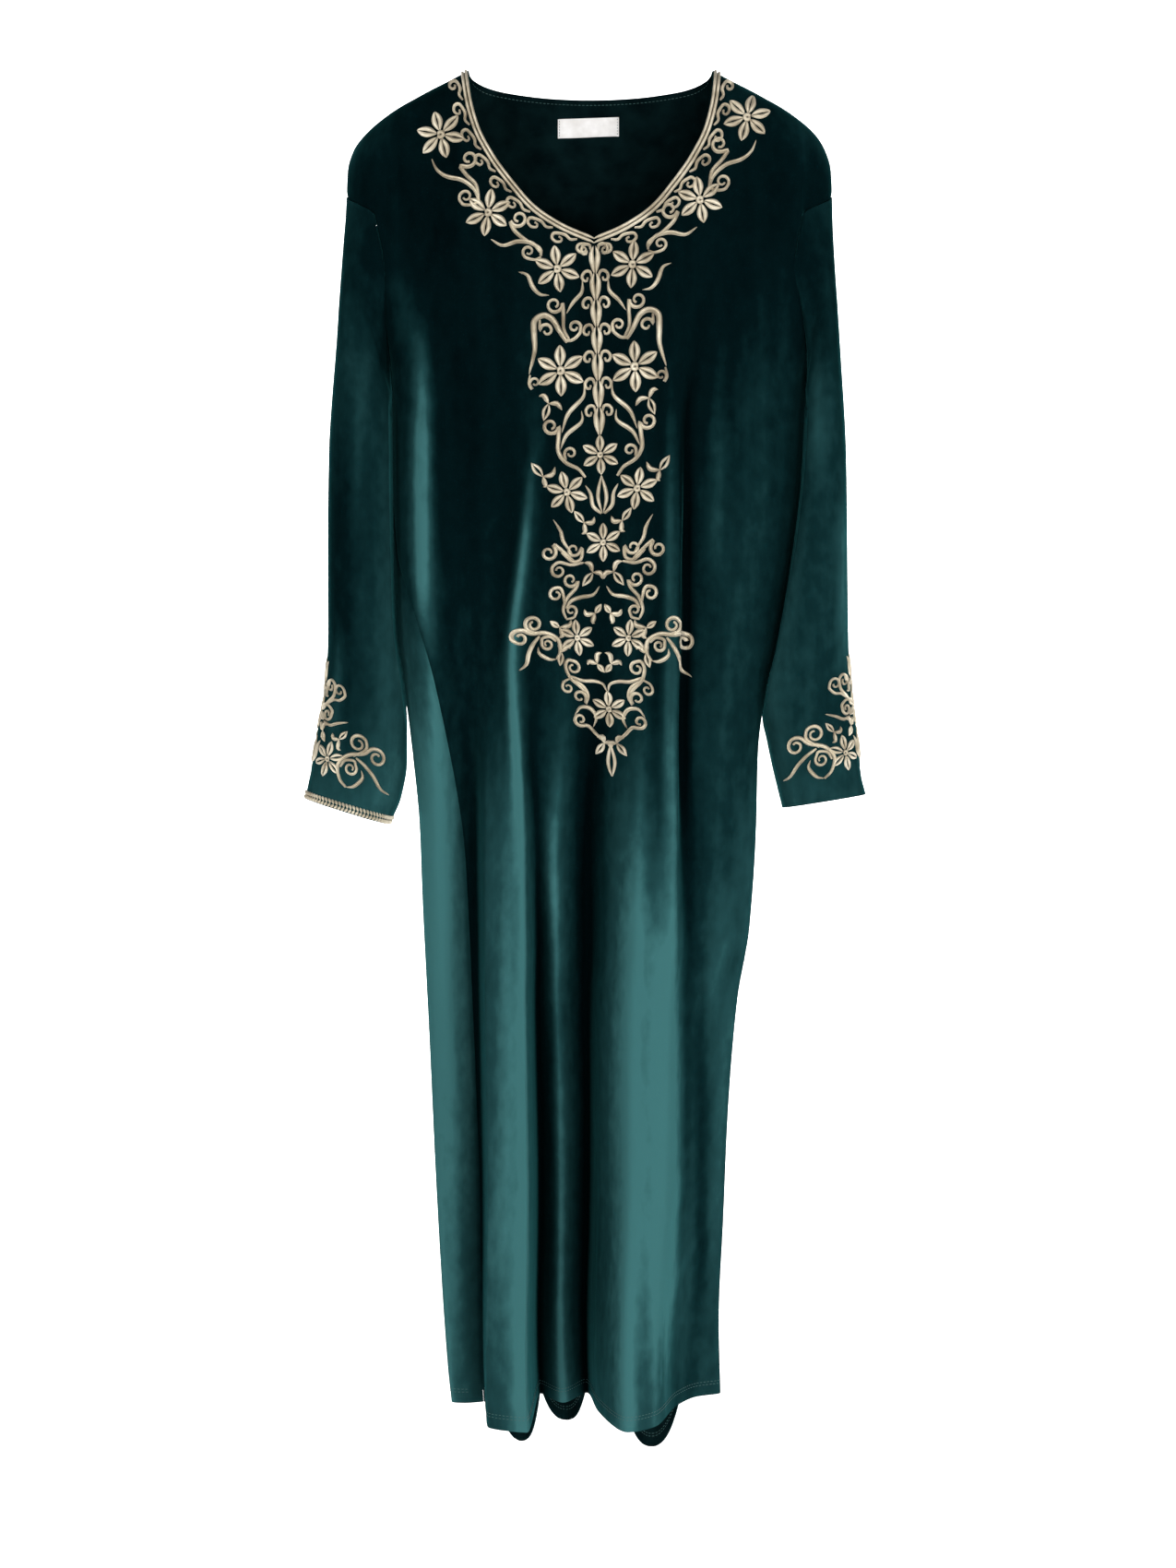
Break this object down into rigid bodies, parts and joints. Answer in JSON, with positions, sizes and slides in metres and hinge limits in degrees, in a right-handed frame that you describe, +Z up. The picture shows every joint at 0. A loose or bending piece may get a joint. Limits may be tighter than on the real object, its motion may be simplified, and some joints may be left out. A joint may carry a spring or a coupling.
{
  "type": "moroccan kaftan",
  "caption": "Long straight velvet kaftan with full-length sleeves and gold-embroidered V neck, hanging empty in deep vertical folds, open at neck, cuffs and hem.",
  "frame": {"origin": "midway between the two neck points, at the height where the shoulders are carried", "axes": "+Z up along the hanging garment, -Y out of its front, +X to the wearer's left"},
  "size_m": [0.5782, 0.1962, 1.4429],
  "materials": {
    "velvet": "dark emerald teal stretch velvet with a short shiny pile",
    "gold_embroidery": "satin-stitched pale gold thread, raised, with a soft metallic sheen",
    "label_satin": "off-white woven satin, blank"
  },
  "bodies": {
    "root": {"front_panel": "velvet", "back_panel": "velvet", "right_sleeve": "velvet", "left_sleeve": "velvet", "neck_trim": "gold_embroidery", "right_cuff_braid": "gold_embroidery", "left_cuff_braid": "gold_embroidery", "neck_label": "label_satin"}
  },
  "joints": []
}
